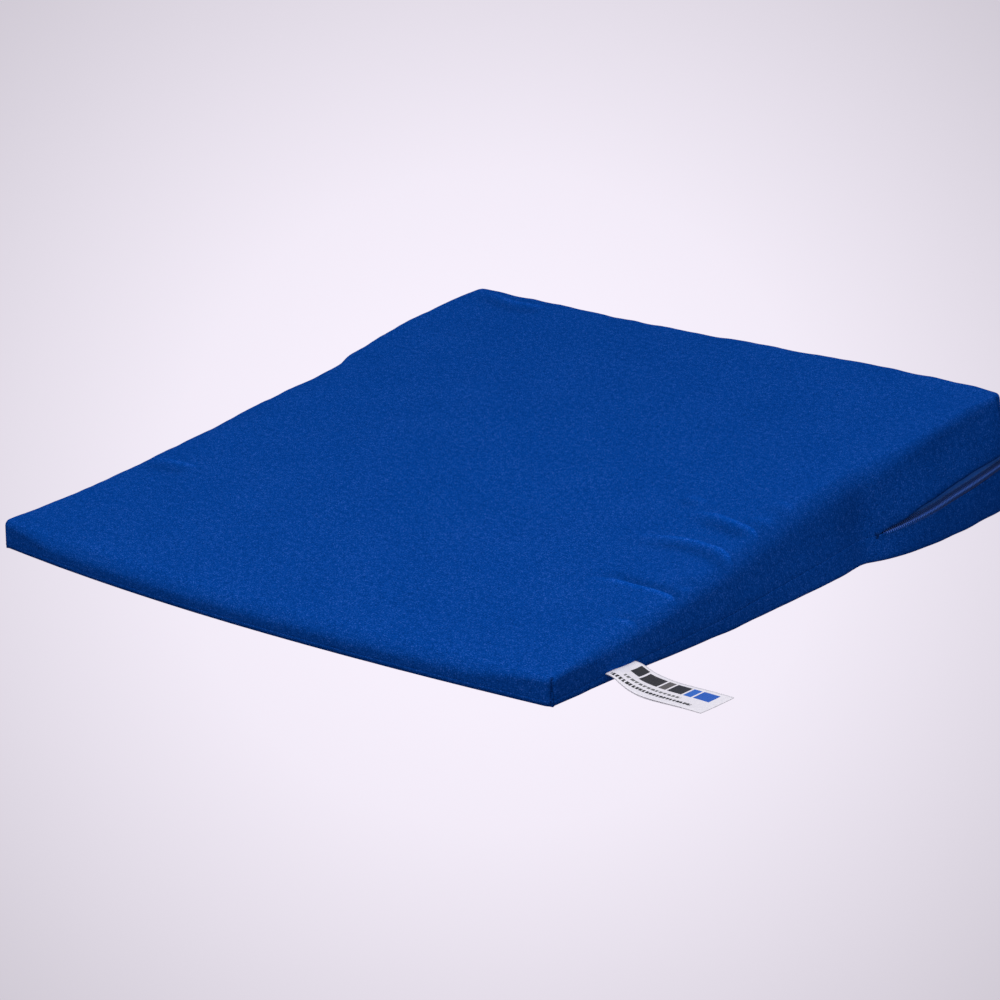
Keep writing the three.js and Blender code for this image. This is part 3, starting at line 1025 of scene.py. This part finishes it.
def zip_slider(material):
    """Two shield plates joined by a post at the nose, with flanges along the sides that
    keep the coils in, and an arched bridge that holds the pull."""
    low, high = 0.2 * MM, 1.15 * MM
    bevel = 0.3 * MM
    plates = [
        flat_plate("face", [shield()], low, high, bevel),
        flat_plate("blade", [shield(-0.2 * MM)], -3.6 * MM, -2.7 * MM, bevel),
        flat_plate("crown", [shield(-1.5 * MM)], low, high + 0.25 * MM, 0.25 * MM),
    ]
    lozenge = [(-4.1 * MM, 0), (-2.6 * MM, -0.4 * MM), (-1.2 * MM, 0), (-2.6 * MM, 0.4 * MM)]
    plates.append(flat_plate("post", [lozenge], -3.0 * MM, 0.6 * MM, 0.05 * MM))
    tail, shoulder = SLIDER_HALF - 0.3 * MM, -1.6 * MM
    rail = [(tail, SLIDER_NARROW), (shoulder, SLIDER_WIDE),
            (shoulder, SLIDER_WIDE - 0.65 * MM), (tail, SLIDER_NARROW - 0.6 * MM)]
    for outline in (mirrored(rail), rail):
        plates.append(flat_plate("rail", [outline], -1.15 * MM, 0.6 * MM, 0.1 * MM))
    plates.append(arch(2.2 * MM, 0.75 * MM))
    body = cast("slider_body", plates)
    body.data.transform(SLIDER_PLACE)
    body.data.materials.clear()
    body.data.materials.append(material)
    return body


PULL_LENGTH = 27 * MM
PULL_HALF = 3.5 * MM
PULL_THICK = 1.0 * MM


def pull_tab(material):
    """A pressed metal tab with an eye round the bridge and a shallow waist."""
    root, waist, corner = -0.5 * MM, PULL_HALF * 0.78, 0.9 * MM
    end = root + PULL_LENGTH - PULL_HALF
    side = [(end, PULL_HALF), (end - 4 * MM, PULL_HALF * 0.96), (root + 11 * MM, waist),
            (root + corner, waist * 0.98)]
    side += arc((root + corner, waist * 0.98 - corner), corner, 90, 180, 4)[1:]
    outline = arc((end, 0), PULL_HALF, -90, 90, 18)[:-1] + side + mirrored(side)[:-1]
    low, high, half, corner = 0.5 * MM, 5.5 * MM, 1.9 * MM, 0.6 * MM
    eye = arc((high - corner, half - corner), corner, 0, 90, 4)
    eye += arc((low + corner, half - corner), corner, 90, 180, 4)
    eye += mirrored(eye)
    grip = arc((end - 0.5 * MM, 0), 1.35 * MM, 0, 360, 20)[:-1]
    low, high = PIN_OUT - PULL_THICK / 2, PIN_OUT + PULL_THICK / 2
    tab = flat_plate("pull_tab", [outline, eye, grip], low, high, 0.28 * MM)
    tab.data.transform(SLIDER_PLACE)
    tab.data.materials.append(material)
    tab.data.polygons.foreach_set("use_smooth", [True] * len(tab.data.polygons))
    return tab


# ---- Label -------------------------------------------------------------------------

LABEL_ROOT = Vector(JOINTS["label_lift"]["pos_m"])
LABEL_HALF = 12.5 * MM
LABEL_REACH = 55 * MM  # from the wall to the fold at the free end
LABEL_TUCK = 0.9 * MM  # how much of it is inside the seam
LAYER = 0.2 * MM  # thickness of one layer of ribbon
LABEL_STEPS = 72
LABEL_COLUMNS = 25
FOLD_STEPS = (7, 3)  # points round the fold, on its outer and inner skin
# Side view of the folded ribbon: out from the wall, and height above the floor
LABEL_FALL = [(-2, 5.2), (1, 5.25), (4.5, 4.6), (8, 3.2), (12.5, 1.9), (18, 1.05), (24, 0.55),
              (34, 0.42), (45, 0.5), (55, 0.4)]


def folded(line, up, reach, steps):
    """A skin `reach` from the ribbon's middle line: out above it, round, and back."""
    top, low = line + up * reach[:, None], line - up * reach[:, None]
    turn = np.radians(np.linspace(90, -90, steps + 2)[1:-1])
    bend = line[-1] + reach[-1] * np.column_stack([np.cos(turn), np.sin(turn)])
    return np.concatenate([top, bend, low[::-1]])


def cut_edge(start, outer, inner):
    """Faces that close one cut edge of the ribbon, between its two skins."""
    faces, last = [], start + outer + inner - 1
    j = 0
    for i in range(outer - 1):
        k = round((i + 1) / (outer - 1) * (inner - 1))
        ahead = [last - k] if k > j else []
        faces.append([start + i, start + i + 1, *ahead, last - j])
        j = k
    return faces


def label(material):
    """A woven ribbon folded in half: two layers that part a little, with a rounded
    fold at the free end, as one closed strip."""
    run = np.linspace(-LABEL_TUCK, LABEL_REACH, LABEL_STEPS + 1)
    rise = through(run, LABEL_FALL)
    slope = np.gradient(rise, run)
    up = unit(np.column_stack([-slope, np.ones_like(slope)]))
    line = np.column_stack([run, rise])
    t = np.clip(run / LABEL_REACH, 0, 1)
    gap = 0.08 * MM + 0.3 * MM * np.sin(math.pi * t) ** 2
    outer = folded(line, up, gap / 2 + LAYER, FOLD_STEPS[0])
    inner = folded(line, up, gap / 2, FOLD_STEPS[1])
    section = np.concatenate([outer, inner[::-1]])
    out = np.arange(LABEL_STEPS + 1)
    station = [np.concatenate([out, np.full(n, LABEL_STEPS), out[::-1]]) for n in FOLD_STEPS]
    station = np.concatenate(station)

    # columns of points across the ribbon
    half = (LABEL_HALF * (0.875 + 0.125 * smooth(t, 0, 0.4)))[station]
    middle = LABEL_ROOT.y + (0.2 - 1.7 * smooth(t, 0, 0.45) + 0.5 * smooth(t, 0.5, 1)) * MM
    near_wall = bell(run[station] - 8 * MM, 9 * MM)
    flat_end = smooth(run[station], 20 * MM, 45 * MM)
    points = []
    for c in np.linspace(-1, 1, LABEL_COLUMNS):
        wave = 0.35 * MM * math.sin(math.pi * (c + 1)) * near_wall
        curl = 0.18 * MM * c ** 2 * flat_end
        points.append(np.column_stack([
            LABEL_ROOT.x + section[:, 0],
            middle[station] + c * half,
            section[:, 1] + wave + curl,
        ]))
    count = len(section)
    faces = skin(LABEL_COLUMNS, count)[:-2]  # without its ends
    for start in (0, (LABEL_COLUMNS - 1) * count):
        faces += cut_edge(start, len(outer), len(inner))
    piece = add_object("ribbon_label", np.concatenate(points), faces, material)
    weld(piece, 0.0005 * MM)
    place = get_vectors(piece.data)[:, :2] - np.array(LABEL_ROOT)[:2]
    set_uv(piece.data, place[loop_vertices(piece.data)])
    return piece


# ---- Materials ---------------------------------------------------------------------

class Field:
    """What one node gives over a surface. Arithmetic on it makes more nodes."""

    def __init__(self, nodes, socket):
        self.nodes, self.socket = nodes, socket

    def maths(self, operation, *others):
        node = self.nodes.add("Math", operation=operation)
        for socket, value in zip(node.inputs, (self, *others)):
            self.nodes.feed(socket, value)
        return Field(self.nodes, node.outputs[0])

    def __add__(self, other):
        return self.maths("ADD", other)

    def __sub__(self, other):
        return self.maths("SUBTRACT", other)

    def __mul__(self, other):
        return self.maths("MULTIPLY", other)

    def __truediv__(self, other):
        return self.maths("DIVIDE", other)

    def __gt__(self, other):
        return self.maths("GREATER_THAN", other)

    def __lt__(self, other):
        return self.maths("LESS_THAN", other)

    def within(self, low, high):
        """1 where the field is from low to high."""
        return (self > low) * (self < high)

    def parts(self):
        """X, Y and Z of a field of vectors."""
        node = self.nodes.add("SeparateXYZ", Vector=self)
        return [Field(self.nodes, socket) for socket in node.outputs]

    def vector_maths(self, operation, output, other=(0, 0, 0)):
        node = self.nodes.add("VectorMath", operation=operation)
        self.nodes.feed(node.inputs[0], self)
        node.inputs[1].default_value = other
        return Field(self.nodes, node.outputs[output])

    def times(self, x, y, z):
        return self.vector_maths("MULTIPLY", "Vector", (x, y, z))

    def length(self):
        return self.vector_maths("LENGTH", "Value")


class Nodes:
    """A new material and its nodes."""

    def __init__(self, name):
        self.material = bpy.data.materials.new(name)
        self.material.use_nodes = True
        self.tree = self.material.node_tree

    def feed(self, socket, value):
        """Gives a socket a field, a number or a colour."""
        if isinstance(value, Field):
            self.tree.links.new(value.socket, socket)
        elif isinstance(value, tuple):
            socket.default_value = (*value, 1)
        else:
            socket.default_value = value

    def add(self, kind, **settings):
        node = self.tree.nodes.new("ShaderNode" + kind)
        for name, value in settings.items():
            if name in node.inputs:
                self.feed(node.inputs[name], value)
            else:
                setattr(node, name, value)
        return node

    def noise(self, place, scale, detail=2, roughness=0.5):
        node = self.add("TexNoise", Vector=place, Scale=scale, Detail=detail, Roughness=roughness)
        return Field(self, node.outputs["Fac"])

    def ramp(self, factor, *stops):
        """Colours or plain levels, blended between places on the factor."""
        node = self.add("ValToRGB", Fac=factor)
        elements = node.color_ramp.elements
        while len(elements) < len(stops):
            elements.new(0.5)
        for element, (place, colour) in zip(elements, stops):
            element.position = place
            element.color = (*(colour if isinstance(colour, tuple) else (colour,) * 3), 1)
        return Field(self, node.outputs["Color"])

    def mix(self, factor, first, second, blend="MIX"):
        node = self.add("Mix", data_type="RGBA", blend_type=blend)
        for place, value in ((0, factor), (6, first), (7, second)):
            self.feed(node.inputs[place], value)
        return Field(self, node.outputs[2])

    def place(self):
        """Where the surface is, in metres."""
        return Field(self, self.add("TexCoord").outputs["Object"])

    def place_mm(self):
        return self.place().times(1 / MM, 1 / MM, 1 / MM)

    def cloth_mm(self):
        """The fabric's own flat coordinates, in millimetres."""
        uv = Field(self, self.add("UVMap", uv_map=CLOTH_UV).outputs["UV"])
        return uv.times(1 / MM, 1 / MM, 1 / MM)


class Finish(Nodes):
    """A material with one Principled shader."""

    def __init__(self, name, colour, roughness, specular=0.5):
        super().__init__(name)
        self.shader = self.tree.nodes["Principled BSDF"]
        self.give(Base_Color=colour, Roughness=roughness, Specular_IOR_Level=specular)

    def give(self, **inputs):
        for name, value in inputs.items():
            self.feed(self.shader.inputs[name.replace("_", " ")], value)

    def tint(self, factor, *stops):
        self.give(Base_Color=self.ramp(factor, *stops))

    def bump(self, height, distance, strength):
        node = self.add("Bump", Height=height, Distance=distance, Strength=strength)
        self.give(Normal=Field(self, node.outputs["Normal"]))


def sines(along, pitch, wander=0.0):
    """Rises and falls once in every two threads, `pitch` millimetres apart."""
    return (along * (math.pi / pitch) + wander).maths("SINE")


def threads(along, pitch):
    """Rows of round threads: 0 between them, 1 on top."""
    return sines(along, pitch).maths("ABSOLUTE")


def weave(x, y, pitch, wander):
    """Height of a plain weave: warp and weft pass over each other in turn."""
    across, down = sines(x, pitch, wander), sines(y, pitch, wander)
    warp, weft = across.maths("ABSOLUTE"), down.maths("ABSOLUTE")
    raised = warp * 0.75 + weft * 0.25
    lowered = warp * 0.25 + weft * 0.75
    return lowered + (across * down > 0.0) * (raised - lowered)


CLOTH_BLUE = (0.0012, 0.048, 0.277)
CLOTH_DARK = tuple(c * 0.62 for c in CLOTH_BLUE)


def cloth_material():
    """Dyed cotton: a fine plain weave with slubs and a mottled dye, with painted highlight and
    painted shade multiplied in.
    """
    made = Finish("cover_cloth", CLOTH_BLUE, 0.95, 0.0)
    place = made.cloth_mm()
    x, y, _ = place.parts()
    height = weave(x, y, 0.5, made.noise(place, 0.12, 1) * 2.4)
    fleck = made.noise(place, 1.35, 2, 0.6)
    slub = made.noise(place, 0.35, 2, 0.6)
    cloud = made.noise(place, 0.03, 3, 0.55)
    tone = (fleck - 0.5) * 2.5 + (slub - 0.5) * 0.9 + (cloud - 0.5) * 0.22
    tone = tone + (height - 0.62) * 0.3 + 0.5
    colour = made.ramp(tone, (0.0, CLOTH_DARK), (0.5, CLOTH_BLUE),
                       (0.75, (0.004, 0.064, 0.335)), (1.0, (0.03, 0.106, 0.44)))
    # painted highlight and painted shade of creases and zip lips, and darker corner seams,
    # multiplied into the colour
    fold = Field(made, made.add("Attribute", attribute_name=PAINTED_LIGHT_TONE).outputs["Fac"])
    made.give(Base_Color=made.mix(1.0, colour, fold * 0.34 + 1.0, "MULTIPLY"))
    made.bump(height + slub * 0.9, 0.05 * MM, 0.6)
    return made.material


def tape_material():
    """Blue tape with slanted ribs."""
    made = Finish("zip_tape", (0.012, 0.05, 0.19), 0.85, 0.05)
    place = made.cloth_mm()
    x, y, _ = place.parts()
    height = threads(x + y, 0.42) * 0.6 + threads(y, 0.34) * 0.4
    tone = height * 0.6 + made.noise(place, 1.6) * 0.5
    made.tint(tone, (0.15, (0.008, 0.07, 0.31)), (0.9, (0.028, 0.15, 0.58)))
    made.bump(height, 0.08 * MM, 0.8)
    return made.material


def coil_material():
    """Dark nylon, with a painted highlight along the middle, where the two coils interlock."""
    made = Finish("zip_coil", (0.012, 0.045, 0.17), 0.4, 0.25)
    across = made.cloth_mm().parts()[1]
    # painted highlight: palest along the zip's centre line
    off_centre = across.maths("ABSOLUTE") / 2.0 + made.noise(made.place_mm(), 1.5) * 0.12
    made.tint(off_centre, (0.12, (0.055, 0.17, 0.65)), (0.34, (0.022, 0.1, 0.42)),
              (0.5, (0.006, 0.032, 0.15)))
    return made.material


def thread_material():
    """Twisted thread of the bar tacks."""
    made = Finish("thread", (0.002, 0.02, 0.1), 0.85, 0.0)
    place = made.place_mm()
    made.tint(made.noise(place, 4), (0.3, (0.002, 0.018, 0.1)), (0.75, (0.006, 0.05, 0.24)))
    made.bump(made.noise(place, 9, 1), 0.06 * MM, 0.7)
    return made.material


def stitch_material():
    """Paler thread of the zip's stitches."""
    made = Finish("zip_thread", (0.05, 0.11, 0.3), 0.7, 0.1)
    tone = made.noise(made.place_mm(), 3)
    made.tint(tone, (0.3, (0.03, 0.09, 0.3)), (0.75, (0.09, 0.19, 0.5)))
    return made.material


def foam_material():
    """Open-cell foam, with darker pores."""
    made = Finish("foam", (0.8, 0.74, 0.55), 0.95, 0.1)
    pores = made.noise(made.place_mm(), 1.4, 3, 0.7)
    made.tint(pores, (0.3, (0.55, 0.48, 0.3)), (0.55, (0.82, 0.76, 0.57)))
    made.bump(pores, 0.6 * MM, 0.8)
    return made.material


def metal_material():
    """Nickel-plated die casting: faintly brushed, with scuffs."""
    made = Finish("slider_metal", (0.62, 0.62, 0.64), 0.3)
    place = made.place_mm()
    grain = made.noise(place.times(4.0, 0.5, 4.0), 3.0, 3)
    scuffs = made.noise(place, 0.7, 3)
    made.tint(scuffs, (0.3, (0.5, 0.5, 0.52)), (0.7, (0.7, 0.69, 0.7)))
    made.give(Metallic=1.0, Roughness=made.ramp(grain, (0.3, 0.22), (0.75, 0.4)))
    made.bump(grain, 0.02 * MM, 0.3)
    return made.material


# The label's print, in millimetres from the middle of its root: plain bars only
PRINT_BARS = [
    # start, end, low, high, colour
    (4.5, 9.5, 1.0, 9.6, (0.03, 0.03, 0.035)),
    (10.5, 20.5, -0.6, 8.6, (0.035, 0.033, 0.035)),
    (21.5, 25.5, -0.6, 8.6, (0.12, 0.11, 0.11)),
    (26.5, 34.5, -0.6, 8.6, (0.03, 0.03, 0.035)),
    (35.5, 40.0, -0.6, 8.6, (0.03, 0.14, 0.55)),
    (41.0, 50.0, -0.6, 8.6, (0.02, 0.11, 0.5)),
]
# Rows of small dashes: low, high, start, end, step and darkness
PRINT_ROWS = [(-5.4, -3.4, 5.5, 37.0, 2.3, 0.16), (-9.9, -7.6, 1.0, 46.0, 1.9, 0.03)]


def label_material():
    """White woven satin with printed bars and two rows of small dashes."""
    made = Finish("label_ribbon", (0.86, 0.82, 0.87), 0.45, 0.35)
    place = made.cloth_mm()
    x, y, _ = place.parts()
    height = threads(y, 0.28) * 0.7 + threads(x, 0.5) * 0.3
    tone = height * 0.25 + made.noise(place, 0.5) * 0.4
    colour = made.ramp(tone, (0.05, (0.7, 0.67, 0.72)), (0.5, (0.9, 0.86, 0.91)))
    for start, end, low, high, ink in PRINT_BARS:
        colour = made.mix(x.within(start, end) * y.within(low, high), colour, ink)
    for low, high, start, end, step, dark in PRINT_ROWS:
        dash = (x / step).maths("FRACT") < made.noise(place, 0.5, 0) * 0.7 + 0.38
        where = x.within(start, end) * y.within(low, high) * dash
        colour = made.mix(where, colour, (dark,) * 3)
    made.give(Base_Color=colour)
    made.bump(height, 0.04 * MM, 0.5)
    return made.material


# ---- Build -------------------------------------------------------------------------

make_camera()

cloth = cloth_material()
cover_top = cover_half("cover_upper_cloth", True)
cover_bottom = cover_half("cover_lower_cloth", False)
for piece, node, upper in ((cover_top, "cover_top", True), (cover_bottom, "cover_bottom", False)):
    piece.data.materials.append(cloth)
    settled(piece, upper)
    subdivided(piece)
    wrinkle(piece, upper)
    finished(piece, "cover", "cover_cloth", node)

foam = foam_block()
foam.data.materials.append(foam_material())
finished(foam, "cover", "foam", "foam_core")

tape = tape_material()
coil = coil_material()
for name, side in (("upper", 1), ("lower", -1)):
    woven = zip_tape(f"zip_tape_{name}_woven", side, tape)
    finished(woven, "cover", "zip_tape", f"zip_tape_{name}")
    wound = zip_coil(f"zip_coil_{name}_wound", side, coil)
    finished(wound, "cover", "zip_coil", f"zip_coil_{name}")
finished(zip_stitches(stitch_material()), "cover", "thread")
thread = thread_material()
for name, side in (("right", 1), ("left", -1)):
    bar_piece = bartack(f"bartack_{name}_threads", side, thread)
    finished(bar_piece, "cover", "thread", f"zip_bartack_{name}")

metal = metal_material()
finished(zip_slider(metal), "zip_slider", "slider_metal", "zip_slider")
finished(pull_tab(metal), "zip_pull", "slider_metal", "zip_pull_tab")

ribbon = label(label_material())
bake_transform(ribbon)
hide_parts("label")


# ---- Studio ------------------------------------------------------------------------

# Painted brightness of the glowing floor, from the middle of the view out, in shares of
# FLOOR_REACH
FLOOR_LIGHT = [(0.0, 0.95), (0.165, 0.93), (0.255, 0.896), (0.366, 0.80), (0.518, 0.665),
               (0.59, 0.608), (0.68, 0.575), (0.8, 0.558), (1.0, 0.55)]
FLOOR_REACH = 0.68
KEY_PLACE = Vector((0.2, -0.58, 1.16))


class Glow(Nodes):
    """A material that only gives light."""

    def __init__(self, name, colour):
        super().__init__(name)
        self.tree.nodes.clear()
        self.emission = self.add("Emission", Color=colour)
        self.add("OutputMaterial", Surface=Field(self, self.emission.outputs["Emission"]))

    def shine(self, strength):
        self.feed(self.emission.inputs["Strength"], strength)
        return self.material


def floor_square(name, half, z, material):
    corners = [(-half, -half, 0), (half, -half, 0), (half, half, 0), (-half, half, 0)]
    piece = add_object(name, corners, [(0, 1, 2, 3)], material)
    piece.location = (AIM.x, AIM.y, z)
    piece.rotation_euler = (0, 0, AZIMUTH)
    return piece


def floor_material():
    """A pale glowing floor with a painted pool of light, lightest in the middle of the view
    and darker all round it: its rings are stretched in depth as a low camera sees them."""
    made = Glow("floor", (1.0, 0.937, 1.05))
    place = made.place()
    from_middle = place.times(1.0, math.sin(ELEVATION), 0.0).length()
    farther = place.parts()[1] * (math.cos(ELEVATION) / DISTANCE) + 1.0
    reach = from_middle / (farther.maths("MAXIMUM", 0.65) * FLOOR_REACH)
    return made.shine(made.ramp(reach, *FLOOR_LIGHT))


def bounce_material():
    """The light that the floor sends back up, less where the object shades it."""
    made = Glow("bounce", (0.94, 0.89, 0.985))
    return made.shine(made.ramp(made.place().length(), (0.17, 0.16), (0.5, 0.37)))


def studio():
    scene = bpy.context.scene
    scene.view_settings.view_transform = "Standard"
    scene.world = bpy.data.worlds.new("studio")
    scene.world.use_nodes = True
    background = scene.world.node_tree.nodes["Background"]
    background.inputs["Color"].default_value = (0.88, 0.9, 1.0, 1)
    background.inputs["Strength"].default_value = 0.42
    floor = floor_square("floor", 9, -0.02 * MM, floor_material())
    floor.visible_diffuse = False
    bounce = floor_square("floor_bounce", 3, -1 * MM, bounce_material())
    bounce.visible_camera = False
    light = bpy.data.lights.new("key", "AREA")
    light.energy = 12.9
    light.size = 1.0
    key = linked("key", light)
    key.location = KEY_PLACE
    key.rotation_mode = "QUATERNION"
    key.rotation_quaternion = KEY_PLACE.to_track_quat("Z", "Y")


studio()
